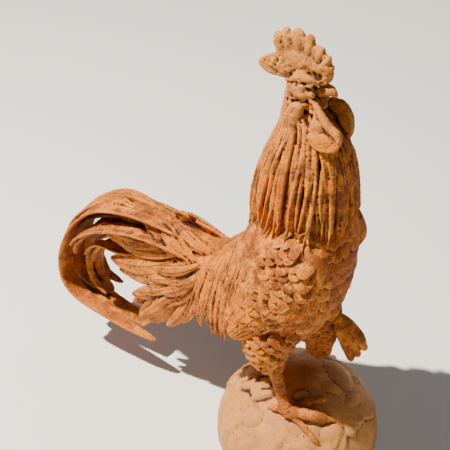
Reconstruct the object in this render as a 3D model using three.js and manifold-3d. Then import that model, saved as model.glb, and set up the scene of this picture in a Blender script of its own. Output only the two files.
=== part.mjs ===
// A garden rooster of cast iron that stands with one foot on a round rock and holds the other foot up.
// Bird and rock are one casting. Millimetres, +Z up, the beak points along +X, the bird's left is +Y,
// and the origin is the centre of the rock's flat underside.

import * as THREE from "three";
import { mergeVertices } from "three/addons/utils/BufferGeometryUtils.js";
import Module from "manifold-3d";

const wasm = await Module();
wasm.setup();

// The rock.
const rock_radius = 89;
const rock_height = 87;
const rock_rim_height = 14;
const rock_sides = 28;
const rock_rows = 4;
const boulder_size = 17;

// The bird, from the sole of its standing foot to the top of its comb.
const bird_height = 425;
// The bird's pose and carving are given in these units, 425 of them to its height.
const unit = bird_height / 425;

// Sizes that are set by themselves.
const shank_radius = 6.8;
const toe_radius = 5.4;
const comb_thickness = 9;
const wattle_thickness = 12;
const hackle_strands = 21;
const hackle_groove = 3.2;
const saddle_strands = 7;
const sickle_thickness = 5;
const wing_thickness = 9;
// How far from the mid-plane the feathers over the tail's root begin.
const covert_root = 20;

// The standing foot on the rock.
const foot_x = 17;
const foot_y = -49;
// How far the sole stands over the rock's round top.
const sole_rise = 2.2;

const up = new THREE.Vector3(0, 0, 1);
const left = new THREE.Vector3(0, 1, 0);

// Shapes that the parts are made of.

// A closed solid from a geometry whose shared corners are merged first.
function solid(geometry) {
  const bare = geometry.clone();
  bare.deleteAttribute("normal");
  bare.deleteAttribute("uv");
  const merged = mergeVertices(bare, 0.001);
  const corners = merged.index.array;
  const triangles = [];
  for (let i = 0; i < corners.length; i += 3) {
    const [a, b, c] = [corners[i], corners[i + 1], corners[i + 2]];
    if (a !== b && b !== c && c !== a) {
      triangles.push(a, b, c);
    }
  }
  return new wasm.Manifold(new wasm.Mesh({
    numProp: 3,
    vertProperties: new Float32Array(merged.attributes.position.array),
    triVerts: new Uint32Array(triangles),
  }));
}

// Six times the volume inside the triangles, to tell which way they face.
function signed_volume(points, index) {
  let sum = 0;
  for (let i = 0; i < index.length; i += 3) {
    const [a, b, c] = [points[index[i]], points[index[i + 1]], points[index[i + 2]]];
    sum += a.dot(new THREE.Vector3().crossVectors(b, c));
  }
  return sum;
}

// A skin over rings of as many points each, closed to a point at either end.
function loft(rings, start, end) {
  const count = rings[0].length;
  const points = rings.flat();
  const index = [];
  for (let i = 0; i < rings.length - 1; i += 1) {
    for (let j = 0; j < count; j += 1) {
      const a = i * count + j;
      const b = i * count + (j + 1) % count;
      index.push(a, b, b + count, a, b + count, a + count);
    }
  }
  const last = (rings.length - 1) * count;
  points.push(start, end);
  for (let j = 0; j < count; j += 1) {
    const next = (j + 1) % count;
    index.push(points.length - 2, next, j);
    index.push(points.length - 1, last + j, last + next);
  }
  if (signed_volume(points, index) < 0) {
    index.reverse();
  }
  const geometry = new THREE.BufferGeometry().setFromPoints(points);
  geometry.setIndex(index);
  return solid(geometry);
}

// The middle of a ring of points.
function middle(ring) {
  const sum = new THREE.Vector3();
  for (const point of ring) {
    sum.add(point);
  }
  return sum.divideScalar(ring.length);
}

// A place of the bird, in its units.
function at(x, y, z) {
  return new THREE.Vector3(x, y, z).multiplyScalar(unit);
}

// A limb of round section through places [x, y, z, radius].
function limb(places, sides = 8, steps = 1) {
  const curve = new THREE.CatmullRomCurve3(places.map(([x, y, z]) => at(x, y, z)));
  const count = (places.length - 1) * steps;
  const rings = [];
  for (let i = 0; i <= count; i += 1) {
    const t = i / count;
    const k = Math.min(Math.floor(i / steps), places.length - 2);
    const share = i / steps - k;
    const radius = THREE.MathUtils.lerp(places[k][3], places[k + 1][3], share) * unit;
    rings.push(ring_around(curve.getPoint(t), curve.getTangent(t), radius, radius, left, sides));
  }
  return loft(rings, middle(rings[0]), middle(rings[count]));
}

// An oval ring about a point, across a direction: wide along side, high along the third direction.
function ring_around(point, direction, wide, high, side, sides) {
  const across = side.clone().addScaledVector(direction, -side.dot(direction)).normalize();
  const face = new THREE.Vector3().crossVectors(across, direction);
  const ring = [];
  for (let j = 0; j < sides; j += 1) {
    const angle = (j / sides) * Math.PI * 2;
    const place = point.clone();
    place.addScaledVector(across, Math.cos(angle) * wide);
    place.addScaledVector(face, Math.sin(angle) * high);
    ring.push(place);
  }
  return ring;
}

// A feather along a path: a blade with a raised rib, widest where the outline says, pointed at its end.
function feather(path, facing, width, thickness, outline = leaf, steps = 3) {
  const curve = new THREE.CatmullRomCurve3(path);
  const rings = [];
  for (let i = 0; i < steps; i += 1) {
    const t = i / steps;
    const point = curve.getPoint(t);
    const along = curve.getTangent(t);
    const across = new THREE.Vector3().crossVectors(along, facing(t, along)).normalize();
    const face = new THREE.Vector3().crossVectors(across, along);
    const half = outline(t) * width * 0.5;
    const under = point.clone().addScaledVector(face, -thickness * 0.5);
    rings.push([
      under.clone().addScaledVector(across, half),
      point.clone().addScaledVector(face, thickness * 0.5),
      under.clone().addScaledVector(across, -half),
    ]);
  }
  return loft(rings, middle(rings[0]), curve.getPoint(1));
}

// Outlines of feathers: their width along them, as a share of the full width.
function leaf(t) {
  return 0.5 + 0.5 * Math.sin(Math.min(1, t * 1.5) * Math.PI * 0.5);
}

function strand(t) {
  return 1 - 0.5 * t;
}

function ribbon(t) {
  return Math.min(1, 0.7 + t) * (t > 0.75 ? 1.6 - 0.8 * t : 1);
}

// Feathers side by side as one band on a surface. Each row of the band is [how far along, lift]; the points
// of the feathers reach past the notches between them, and the band's underside is sunk by its depth.
function band(surface, rows, count, notch, rib, depth) {
  const rings = rows.map(([along, lift], i) => {
    const share = i / (rows.length - 1);
    const ring = [];
    for (let j = 0; j <= count * 2; j += 1) {
      const is_rib = j % 2 === 1;
      const place = is_rib ? along : along - notch * share;
      ring.push(surface(place, j / (count * 2), lift + (is_rib ? rib : 0)));
    }
    ring.push(surface(along - notch * share, 1, -depth), surface(along - notch * share, 0, -depth));
    return ring;
  });
  return loft(rings, middle(rings[0]), middle(rings[rings.length - 1]));
}

// Body and neck.

// Sections of the torso from tail root to shoulders: back x, back z, belly x, belly z, half width.
const torso_sections = [
  [-124, 138, -120, 122, 12],
  [-110, 144, -106, 98, 25],
  [-94, 151, -84, 74, 40],
  [-80, 164, -50, 64, 51],
  [-69, 180, -14, 68, 56],
  [-60, 198, 17, 94, 57],
  [-52, 217, 37, 131, 55],
  [-43, 235, 44, 172, 48],
  [-34, 248, 47, 212, 41],
  [-16, 258, 40, 244, 27],
];

// Sections of the neck and head from shoulders to crown: back x, back z, front x, front z, half width.
const neck_sections = [
  [-42, 198, 40, 205, 36],
  [-50, 220, 45, 226, 42],
  [-51, 240, 46, 246, 42],
  [-48, 265, 43, 272, 39],
  [-43, 288, 39, 296, 35],
  [-35, 310, 32, 316, 28],
  [-27, 330, 21, 334, 22],
  [-26, 350, 10, 346, 17.5],
  [-26, 362, 5, 352, 15],
  [-24, 374, 7, 366, 15.5],
  [-20, 385, 6, 378, 12],
  [-12, 391, 2, 387, 6],
];

// One section of a table between its rows, at a share of the way along the table.
function section(table, share) {
  const place = THREE.MathUtils.clamp(share, 0, 1) * (table.length - 1);
  const i = Math.min(Math.floor(place), table.length - 2);
  const t = place - i;
  const row = (k) => table[THREE.MathUtils.clamp(k, 0, table.length - 1)];
  return table[0].map((_, n) => {
    const [a, b, c, d] = [row(i - 1)[n], row(i)[n], row(i + 1)[n], row(i + 2)[n]];
    const slope = (c - a) * 0.5;
    const next_slope = (d - b) * 0.5;
    const t2 = t * t;
    const t3 = t2 * t;
    return (2 * t3 - 3 * t2 + 1) * b + (t3 - 2 * t2 + t) * slope
      + (3 * t2 - 2 * t3) * c + (t3 - t2) * next_slope;
  });
}

// A place on the skin of a table of sections: angle 0 is the back, a quarter turn is the left side.
function skin(table, share, angle, lift = 0) {
  const [back_x, back_z, front_x, front_z, half_width] = section(table, share);
  const back = at(back_x, 0, back_z);
  const front = at(front_x, 0, front_z);
  const centre = back.clone().add(front).multiplyScalar(0.5);
  const toward_back = back.clone().sub(centre);
  const round = 0.86;
  const c = Math.cos(angle);
  const s = Math.sin(angle);
  const point = centre.clone();
  point.addScaledVector(toward_back, Math.sign(c) * Math.abs(c) ** round);
  point.addScaledVector(left, Math.sign(s) * Math.abs(s) ** round * half_width * unit);
  if (lift !== 0) {
    point.addScaledVector(skin_normal(table, share, angle), lift);
  }
  return point;
}

// The direction straight out of the skin.
function skin_normal(table, share, angle) {
  const step = 0.01;
  const along = skin(table, Math.min(share + step, 1), angle).sub(skin(table, Math.max(share - step, 0), angle));
  const around = skin(table, share, angle + step).sub(skin(table, share, angle - step));
  const normal = new THREE.Vector3().crossVectors(along, around).normalize();
  const [back_x, back_z, front_x, front_z] = section(table, share);
  const centre = at((back_x + front_x) / 2, 0, (back_z + front_z) / 2);
  return normal.dot(skin(table, share, angle).sub(centre)) < 0 ? normal.negate() : normal;
}

function trunk(table, rows, sides) {
  const rings = [];
  for (let i = 0; i <= rows; i += 1) {
    const ring = [];
    for (let j = 0; j < sides; j += 1) {
      ring.push(skin(table, i / rows, (j / sides) * Math.PI * 2));
    }
    rings.push(ring);
  }
  return loft(rings, middle(rings[0]), middle(rings[rows]));
}

// The neck's cape of long narrow feathers: a fluted skin whose ribs run down into points.
function hackle() {
  const rows = 4;
  const top = 0.67;
  const rings = [];
  for (let i = 0; i <= rows; i += 1) {
    const t = i / rows;
    const ring = [];
    for (let j = 0; j < hackle_strands * 2; j += 1) {
      const is_rib = j % 2 === 0;
      const angle = (j / (hackle_strands * 2)) * Math.PI * 2;
      const reach = 0.06 + 0.05 * Math.cos(angle) + 0.03 * Math.sin(j * 2.4);
      const low = is_rib ? reach : reach + 0.09;
      const share = top + (low - top) * t;
      const lift = is_rib ? hackle_groove * Math.min(1, 0.3 + 2 * t) : 0.3 * unit;
      ring.push(skin(neck_sections, share, angle, lift));
    }
    rings.push(ring);
  }
  return loft(rings, middle(rings[0]), middle(rings[rows]));
}

// Rows of short feathers over the breast, from the hackle down to the belly.
function breast() {
  const parts = [];
  const rows = 5;
  const count = 4;
  for (let i = 0; i < rows; i += 1) {
    const start = 0.92 - i * 0.1;
    const shift = (i % 2) * 0.5 / count;
    const surface = (along, across, lift) =>
      skin(torso_sections, start - along, Math.PI + (across - 0.5 + shift) * 1.8, lift * unit);
    parts.push(band(surface, [[0, -3.5], [0.15, 2]], count, 0.05, 1.4, 6));
  }
  return parts;
}

// Long thin feathers that hang from the saddle over the flank.
function saddle(side) {
  const outward = new THREE.Vector3(-0.3, side, 0.2).normalize();
  const surface = (along, across, lift) => {
    const root = at(-42 - 58 * across, side * (30 - 12 * across), 194 - 46 * across);
    const half_way = at(-58 - 42 * across, side * (64 - 16 * across), 140 - 20 * across);
    const end = at(-58 - 56 * across, side * (48 - 10 * across), 58 + 14 * across * across);
    const curve = new THREE.QuadraticBezierCurve3(root, half_way, end);
    return curve.getPoint(along).addScaledVector(outward, lift * unit);
  };
  return band(surface, [[0.04, -2], [0.35, 1], [0.7, 1.5], [1, -1]], saddle_strands, 0.14, 3, 8);
}

// Wings.

// Sections of a wing from shoulder to tip: middle x, middle z, half chord, distance from the mid-plane.
const wing_sections = [
  [33, 222, 12, 35],
  [27, 212, 23, 43],
  [15, 199, 33, 50],
  [3, 174, 31, 53],
  [-10, 151, 27, 54],
  [-22, 130, 22, 54],
  [-35, 110, 15, 54],
  [-47, 95, 7, 54],
];
const wing_chord = new THREE.Vector3(0.8, 0, -0.6);

// A place on a wing's outer face: across runs from -1 at the upper edge to 1 at the lower edge.
function wing_face(side, share, across, lift) {
  const [x, z, half_chord, distance] = section(wing_sections, share);
  const bulge = Math.sqrt(Math.max(0, 1 - across * across));
  const point = at(x, side * (distance + wing_thickness / unit * bulge + lift), z);
  return point.addScaledVector(wing_chord, across * half_chord * unit);
}

// A place on a wing's outer face over a place of the mid-plane.
function wing_over(side, x, z, lift) {
  const down = ([row_x, row_z]) => -0.6 * row_x - 0.8 * row_z;
  const wanted = down([x, z]);
  let i = 0;
  while (i < wing_sections.length - 2 && down(wing_sections[i + 1]) < wanted) {
    i += 1;
  }
  const t = (wanted - down(wing_sections[i])) / (down(wing_sections[i + 1]) - down(wing_sections[i]));
  const [row_x, row_z, half_chord, distance] = section(wing_sections, (i + t) / (wing_sections.length - 1));
  const across = THREE.MathUtils.clamp(((x - row_x) * 0.8 - (z - row_z) * 0.6) / half_chord, -0.97, 0.97);
  const bulge = Math.sqrt(1 - across * across);
  return at(x, side * (distance + wing_thickness / unit * bulge + lift), z);
}

function wing(side) {
  const rings = [];
  for (let i = 0; i < wing_sections.length; i += 1) {
    const [x, z, half_chord, distance] = wing_sections[i];
    const centre = at(x, side * distance, z);
    const along = new THREE.Vector3(-0.6, 0, -0.8);
    rings.push(ring_around(centre, along, half_chord * unit, wing_thickness, wing_chord, 8));
  }
  const tip = at(-53, side * 54, 87);
  const parts = [loft(rings, middle(rings[0]), tip)];
  // Rows of short feathers, each row larger than the one above it.
  const rows = 5;
  for (let i = 0; i < rows; i += 1) {
    const rear = -22 - 3 * i;
    const front = 42 - 3 * i;
    const surface = (along, across, lift) => {
      const x = THREE.MathUtils.lerp(rear, front, across) + (i % 2) * 6 - along * 0.25;
      return wing_over(side, x, 214 - 15 * i + 0.2 * x - along, lift);
    };
    parts.push(band(surface, [[0, -3.5], [22 + i, 2.2]], 4, 6, 1.2, 7));
  }
  // The long feathers that end the wing.
  const long_feathers = (along, across, lift) => wing_face(side, along, across * 1.7 - 0.85, lift);
  parts.push(band(long_feathers, [[0.56, -2], [0.8, 1.2], [1, 1.2]], 4, 0.07, 1.8, 7));
  return parts;
}

// Tail.

// The tail's core: back x, back z, lower x, lower z, half width.
const tail_sections = [
  [-92, 150, -88, 84, 36],
  [-116, 146, -110, 86, 30],
  [-142, 148, -136, 92, 22],
  [-168, 150, -162, 104, 15],
  [-190, 150, -186, 120, 8],
];

// Each sickle: the places [x, z] that it passes, its distance from the mid-plane and its width.
const sickles = [
  { y: -12, width: 24, way: [[-96, 138], [-130, 150], [-165, 158], [-206, 159], [-250, 145], [-284, 111], [-303, 66],
    [-303, 28], [-286, 6], [-250, -8], [-214, -20], [-180, -30]] },
  { y: 14, width: 30, way: [[-96, 132], [-130, 140], [-170, 145], [-216, 149], [-262, 137], [-296, 104], [-315, 60],
    [-313, 22], [-291, 2], [-258, -6], [-228, -9], [-200, -14]] },
  { y: 39, width: 24, way: [[-104, 114], [-150, 112], [-205, 124], [-254, 129], [-293, 105], [-312, 66], [-311, 26],
    [-291, 3], [-262, -4]] },
  { y: -24, width: 20, way: [[-104, 124], [-150, 144], [-206, 147], [-250, 131], [-279, 96]] },
  { y: -9, width: 24, way: [[-130, 130], [-180, 138], [-226, 129], [-264, 106], [-291, 70]] },
  { y: 6, width: 22, way: [[-150, 118], [-190, 118], [-230, 106], [-260, 90], [-284, 58], [-286, 34]] },
  { y: 26, width: 34, way: [[-120, 130], [-180, 136], [-225, 134], [-262, 121], [-287, 101], [-304, 72], [-309, 46],
    [-304, 22], [-288, 6], [-264, -4]] },
];

// Each layer of them: how many, first and last direction in degrees, length and rise.
const covert_layers = [
  [7, 168, 237, 134, 0],
  [5, 160, 246, 98, 6],
];

function tail() {
  const parts = [trunk(tail_sections, 3, 8)];
  for (const { y, width, way } of sickles) {
    const path = way.map(([x, z], i) => at(x, y * Math.min(1, 0.6 + i * 0.2), z));
    const facing = (t, along) => new THREE.Vector3().crossVectors(left, along);
    const steps = way.length - 1;
    parts.push(feather(path, facing, width * unit, sickle_thickness, ribbon, steps));
  }
  // Lance-shaped feathers that cover the tail's root: a fan on each side, in a long layer and a short one.
  for (const side of [1, -1]) {
    for (const [count, first, last, length, rise] of covert_layers) {
      const surface = (along, across, lift) => {
        const angle = THREE.MathUtils.degToRad(THREE.MathUtils.lerp(first, last, across));
        const way = new THREE.Vector3(Math.cos(angle), 0, Math.sin(angle));
        const reach = length * (1 - 0.06 * across * across) * along * unit;
        const out = covert_root / unit + rise - 15 * along * along;
        return at(-104, side * (out + lift), 124 - 14 * across).addScaledVector(way, reach);
      };
      parts.push(band(surface, [[0.1, -2], [0.5, 1], [0.8, 1.5], [1, 1]], count, 0.24, 3, covert_root / unit));
    }
  }
  return parts;
}

// Head.

// A flat lobe from one place to another, with a round end or a pointed one.
function lobe(from, to, radius, half_thickness, pointed = false) {
  const along = to.clone().sub(from);
  const direction = along.clone().normalize();
  const stations = pointed ? [[0, 1], [0.6, 0.75]] : [[0, 1], [0.72, 1], [0.94, 0.6]];
  const rings = stations.map(([t, share]) => {
    const point = from.clone().addScaledVector(along, t);
    return ring_around(point, direction, half_thickness * (0.4 + 0.6 * share), radius * share, left, 6);
  });
  return loft(rings, from, to);
}

function comb() {
  const half = comb_thickness * 0.5;
  const parts = [];
  // Each lobe of the crest: root x and z, tip x and z, radius.
  const lobes = [
    [-26, 392, -43, 412, 6.5],
    [-19, 394, -32, 424, 6.5],
    [-12, 394, -18, 428, 7],
    [-5, 394, -5, 425, 6.6],
    [2, 392, 8, 414, 6.4],
    [6, 388, 16, 401, 6],
  ];
  for (const [root_x, root_z, tip_x, tip_z, radius] of lobes) {
    parts.push(lobe(at(root_x, 0, root_z), at(tip_x, 0, tip_z), radius * unit, half));
  }
  // The blade behind the crest and the plate that all the lobes grow from.
  parts.push(lobe(at(-14, 0, 386), at(-59, 0, 383), 13 * unit, half, true));
  parts.push(lobe(at(-38, 0, 394), at(22, 0, 388), 17 * unit, half * 1.2));
  return parts;
}

function ball(centre, sizes, turn = [0, 0, 0], wide = 8, high = 5) {
  const geometry = new THREE.SphereGeometry(1, wide, high);
  geometry.rotateX(Math.PI / 2);
  geometry.scale(sizes[0] * unit, sizes[1] * unit, sizes[2] * unit);
  geometry.rotateX(turn[0]);
  geometry.rotateY(turn[1]);
  geometry.rotateZ(turn[2]);
  geometry.translate(centre.x, centre.y, centre.z);
  return solid(geometry);
}

function head() {
  const parts = [...comb()];
  const beak_rings = [
    [0, 371, 8.5, 8.5],
    [9, 372, 7, 7.5],
    [17, 372, 5, 5.5],
    [23, 369.5, 2.6, 3],
  ].map(([x, z, wide, high]) => ring_around(at(x, 0, z), new THREE.Vector3(1, 0, -0.1).normalize(),
    wide * unit, high * unit, left, 8));
  parts.push(loft(beak_rings, middle(beak_rings[0]), at(24.5, 0, 365)));
  const jaw_rings = [[-2, 360, 7, 5], [6, 360, 5.5, 4], [11, 359, 3.4, 2.6]].map(([x, z, wide, high]) =>
    ring_around(at(x, 0, z), new THREE.Vector3(1, 0, 0), wide * unit, high * unit, left, 8));
  parts.push(loft(jaw_rings, middle(jaw_rings[0]), at(14, 0, 358)));
  for (const side of [1, -1]) {
    // Wattle, with its narrow root at the jaw, then earlobe, cheek and eye.
    const wattle_half = wattle_thickness / 2 / unit;
    parts.push(ball(at(23, side * 14, 342), [side < 0 ? 17 : 15, wattle_half, 26], [side * 0.1, -0.2, side * 0.15], 8, 6));
    parts.push(ball(at(-8, side * 15, 345), [9.5, 5, 15.5], [side * -0.1, 0.15, 0]));
    parts.push(ball(at(-6, side * 11, 371), [13, 7, 10]));
    parts.push(ball(at(-3, side * 16.5, 376), [3.2, 2.4, 3.2], [0, 0, 0], 6, 4));
  }
  return parts;
}

// Legs.

// Rows of feathers around the outer side of a thigh.
function thigh_feathers(places, side, rows) {
  const curve = new THREE.CatmullRomCurve3(places.map(([x, y, z]) => at(x, y, z)));
  const radius_at = (t) => {
    const place = THREE.MathUtils.clamp(t, 0, 0.999) * (places.length - 1);
    const k = Math.floor(place);
    return THREE.MathUtils.lerp(places[k][3], places[k + 1][3], place - k);
  };
  const parts = [];
  for (let i = 0; i < rows; i += 1) {
    const start = 0.3 + i * 0.17;
    const surface = (along, across, lift) => {
      const angle = (across - 0.5 + (i % 2) * 0.08) * 3.4;
      const out = new THREE.Vector3(Math.sin(angle), side * Math.cos(angle), 0);
      const t = Math.min(start + along, 1);
      return curve.getPoint(t).addScaledVector(out, (radius_at(t) + lift) * unit);
    };
    parts.push(band(surface, [[0, -3.5], [0.26, 2]], 4, 0.09, 1.4, 5));
  }
  return parts;
}

const standing_thigh = [[-8, -28, 118, 29], [-15, -36, 94, 27], [-18, -42, 72, 20], [-12, -43, 50, 10]];
const raised_thigh = [[-8, 28, 108, 30], [-4, 33, 78, 26], [2, 34, 50, 18], [7, 33, 24, 9]];

function standing_leg() {
  const parts = [limb(standing_thigh), ...thigh_feathers(standing_thigh, -1, 4)];
  const shank = shank_radius / unit;
  parts.push(limb([
    [-15, -43, 60, shank + 2],
    [-5, -43, 42, shank + 0.6],
    [4, -45, 18, shank],
    [foot_x / unit, foot_y / unit, -1, shank + 1],
  ], 8));
  return parts;
}

function raised_leg() {
  const parts = [limb(raised_thigh), ...thigh_feathers(raised_thigh, 1, 3)];
  const shank = shank_radius / unit;
  // The folded shank rises from the hock to the toe joint, where the toes hang down together.
  parts.push(limb([[6, 33, 26, shank], [11, 33, 54, shank], [19, 33, 80, shank + 0.6]], 8));
  const toe = toe_radius / unit;
  const joint = [20, 33, 80];
  const tips = [[45, 28, 32], [50, 33, 40], [56, 38, 50]];
  for (const [x, y, z] of tips) {
    const bend = [joint[0] + (x - joint[0]) * 0.5, joint[1] + (y - joint[1]) * 0.8, joint[2] + (z - joint[2]) * 0.4];
    parts.push(limb([[...joint, toe + 2], [...bend, toe + 1.8], [x, y, z, toe * 0.6]], 5));
  }
  parts.push(limb([[...joint, toe + 0.6], [22, 26, 66, toe], [20, 24, 56, 2]], 5));
  return parts;
}

// Rock.

// How high the rock's rounded top is over a place.
function rock_top(x, y) {
  const away = Math.min(1, Math.hypot(x, y) / rock_radius);
  return rock_rim_height + (rock_height - rock_rim_height) * Math.sqrt(1 - away * away);
}

function rock() {
  const profile = [new THREE.Vector2(0, rock_height)];
  for (let i = 1; i <= rock_rows; i += 1) {
    const angle = (i / rock_rows) * Math.PI * 0.5;
    const high = rock_rim_height + (rock_height - rock_rim_height) * Math.cos(angle);
    profile.push(new THREE.Vector2(rock_radius * Math.sin(angle), high));
  }
  profile.push(new THREE.Vector2(rock_radius, 0));
  profile.push(new THREE.Vector2(0, 0));
  profile.reverse();
  const geometry = new THREE.LatheGeometry(profile, rock_sides);
  geometry.rotateX(Math.PI / 2);
  const parts = [solid(geometry)];
  // Ledges and boulders that stand out of the rock: place as shares of its radius, size as a share, flatness
  // and turn.
  const ledges = [
    [-0.42, -0.3, 1.5, 0.75, 0.5],
    [-0.26, -0.7, 1.0, 0.7, 0.2],
    [0.67, -0.4, 0.8, 0.6, 0.9],
    [0.34, 0.38, 1.8, 0.6, -0.6],
    [-0.52, 0.34, 1.7, 0.7, -0.3],
  ];
  for (const [share_x, share_y, size, flat, turn] of ledges) {
    const x = share_x * rock_radius;
    const y = share_y * rock_radius;
    const stone = new THREE.IcosahedronGeometry(boulder_size * size, 1);
    stone.scale(1.25, 0.85, flat);
    stone.rotateZ(turn);
    const away = Math.hypot(x, y) / rock_radius;
    stone.translate(x, y, rock_top(x, y) - boulder_size * (size * flat * 0.55 + away * 0.12));
    parts.push(solid(stone));
  }
  return parts;
}

// A toe on the rock: it lies on the rock's top through places [x, y] and ends in a claw.
function standing_toe(places) {
  const last = places.length - 1;
  const points = places.map(([x, y], i) => {
    const radius = toe_radius * (1 - 0.35 * (i / last));
    return new THREE.Vector3(x, y, rock_top(x, y) + radius * (i === last ? -0.1 : 0.35));
  });
  const curve = new THREE.CatmullRomCurve3(points);
  const rings = [];
  const steps = 4;
  for (let i = 0; i < steps; i += 1) {
    const t = i / steps;
    const radius = toe_radius * (1.1 - 0.4 * t);
    rings.push(ring_around(curve.getPoint(t), curve.getTangent(t), radius, radius, up, 6));
  }
  return loft(rings, middle(rings[0]), curve.getPoint(1));
}

function standing_foot() {
  // Each toe's way from the foot's middle.
  const ways = [
    [[0, 0], [13, 6], [25, 12], [43, 26]],
    [[0, 0], [18, -3], [30, -4], [38, -4]],
    [[0, 0], [9, 17], [19, 30], [26, 36]],
    [[0, 0], [-13, -1], [-27, -3]],
  ];
  return ways.map((way) => standing_toe(way.map(([x, y]) => [foot_x + x * unit, foot_y + y * unit])));
}

// The casting.

const bird = wasm.Manifold.union([
  trunk(torso_sections, 9, 13),
  trunk(neck_sections, 12, 12),
  hackle(),
  ...breast(),
  saddle(1),
  saddle(-1),
  ...wing(1),
  ...wing(-1),
  ...tail(),
  ...head(),
  ...standing_leg(),
  ...raised_leg(),
]);

// The bird stands where the sole of its foot meets the rock.
const seat = rock_top(foot_x, foot_y) + sole_rise;
const joined = wasm.Manifold.union([
  bird.translate([0, 0, seat]),
  ...rock(),
  ...standing_foot(),
]);

// The casting is solid between its feathers: pockets that they shut in are part of it.
const skins = joined.setTolerance(0.05).decompose();
skins.sort((a, b) => b.volume() - a.volume());
const casting = skins[0];

const shape = casting.getMesh();
const geometry = new THREE.BufferGeometry();
geometry.setAttribute("position", new THREE.BufferAttribute(shape.vertProperties, 3));
geometry.setIndex(new THREE.BufferAttribute(shape.triVerts, 1));
geometry.computeVertexNormals();

const iron = new THREE.MeshStandardMaterial({ color: 0xa8663f, roughness: 0.92, metalness: 0.1 });
iron.name = "cast_iron";

const rooster = new THREE.Mesh(geometry, iron);
rooster.name = "rooster";

const group = new THREE.Group();
group.add(rooster);

export default group;
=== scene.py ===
"""A rusted cast iron rooster on a round rock: the fine carving and the weathered iron of the casting."""
import math
import random

import bpy
import numpy as np
from mathutils import Matrix, Vector, noise
from mathutils.bvhtree import BVHTree


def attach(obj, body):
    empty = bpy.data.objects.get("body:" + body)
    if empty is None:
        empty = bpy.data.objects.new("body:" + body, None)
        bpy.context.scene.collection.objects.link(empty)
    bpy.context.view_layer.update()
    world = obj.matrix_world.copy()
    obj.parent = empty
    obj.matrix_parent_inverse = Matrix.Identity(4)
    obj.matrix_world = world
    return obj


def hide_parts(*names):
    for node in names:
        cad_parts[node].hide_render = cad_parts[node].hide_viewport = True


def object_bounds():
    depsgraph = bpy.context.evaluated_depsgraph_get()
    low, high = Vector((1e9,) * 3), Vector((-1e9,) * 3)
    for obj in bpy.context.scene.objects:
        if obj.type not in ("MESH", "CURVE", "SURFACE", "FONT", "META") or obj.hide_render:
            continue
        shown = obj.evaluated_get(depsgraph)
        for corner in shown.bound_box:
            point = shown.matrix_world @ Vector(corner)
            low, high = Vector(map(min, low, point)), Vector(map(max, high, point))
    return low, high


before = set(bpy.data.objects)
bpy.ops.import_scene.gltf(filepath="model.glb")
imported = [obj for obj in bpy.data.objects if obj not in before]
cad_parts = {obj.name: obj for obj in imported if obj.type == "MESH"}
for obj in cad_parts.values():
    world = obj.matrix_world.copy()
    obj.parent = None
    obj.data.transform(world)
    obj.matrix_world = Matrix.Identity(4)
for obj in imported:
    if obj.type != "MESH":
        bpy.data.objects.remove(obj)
cad_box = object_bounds()
bpy.ops.object.select_all(action="DESELECT")

MM = 0.001
LEFT = Vector((0, 1, 0))
UP = Vector((0, 0, 1))

# The rock, in millimetres.
ROCK_RADIUS = 89
ROCK_HEIGHT = 87
ROCK_RIM = 14
FOOT_X = 17
FOOT_Y = -49
SOLE_RISE = 2.2

# The camera: degrees from the bird's right side towards its front, degrees above level, place in metres.
VIEW_TURN = 32
VIEW_RISE = 37
VIEW_PLACE = (0.4533, -0.8772, 1.0303)


# Camera, floor and light.

def camera():
    """The photograph's view, with a long lens."""
    azimuth, elevation = math.radians(VIEW_TURN), math.radians(VIEW_RISE)
    back = Vector((math.sin(azimuth) * math.cos(elevation), -math.cos(azimuth) * math.cos(elevation),
                   math.sin(elevation)))
    data = bpy.data.cameras.new("view")
    data.lens = 100
    data.sensor_width = 36
    data.clip_end = 20
    obj = bpy.data.objects.new("view", data)
    obj.location = VIEW_PLACE
    obj.rotation_euler = back.to_track_quat("Z", "Y").to_euler()
    bpy.context.collection.objects.link(obj)
    bpy.context.scene.camera = obj


def lamp(name, place, toward, size, watts, colour):
    data = bpy.data.lights.new(name, "AREA")
    data.shape = "DISK"
    data.size = size
    data.energy = watts
    data.color = colour
    obj = bpy.data.objects.new(name, data)
    obj.location = place
    obj.rotation_euler = (Vector(place) - Vector(toward)).to_track_quat("Z", "Y").to_euler()
    bpy.context.collection.objects.link(obj)


def studio():
    bpy.ops.mesh.primitive_plane_add(size=8, location=(0, 0, 0))
    floor = bpy.context.object
    floor.name = "floor"
    paint = bpy.data.materials.new("pale_floor")
    paint.use_nodes = True
    shader = paint.node_tree.nodes["Principled BSDF"]
    shader.inputs["Base Color"].default_value = (0.78, 0.77, 0.75, 1)
    shader.inputs["Roughness"].default_value = 0.9
    floor.data.materials.append(paint)
    world = bpy.data.worlds.new("soft_room")
    world.use_nodes = True
    world.node_tree.nodes["Background"].inputs[0].default_value = (0.92, 0.95, 1.0, 1)
    world.node_tree.nodes["Background"].inputs[1].default_value = 0.1
    bpy.context.scene.world = world
    lamp("key", (-0.85, -0.72, 2.15), (-0.05, 0, 0.25), 0.07, 178, (1.0, 0.93, 0.80))
    lamp("fill", (1.5, -0.9, 0.9), (0, 0, 0.25), 1.4, 3, (0.9, 0.95, 1.0))
    lamp("back", (0.3, 1.6, 1.4), (0, 0, 0.3), 1.2, 6, (1.0, 0.98, 0.95))


# Places on the bird.

def rock_top(x, y):
    """How high the rock's rounded top is over a place, in millimetres."""
    away = min(1.0, math.hypot(x, y) / ROCK_RADIUS)
    return ROCK_RIM + (ROCK_HEIGHT - ROCK_RIM) * math.sqrt(1 - away * away)


SEAT = rock_top(FOOT_X, FOOT_Y) + SOLE_RISE


def at(x, y, z):
    """A place of the bird, in millimetres over the sole of its standing foot."""
    return Vector((x, y, z + SEAT)) * MM


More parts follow.
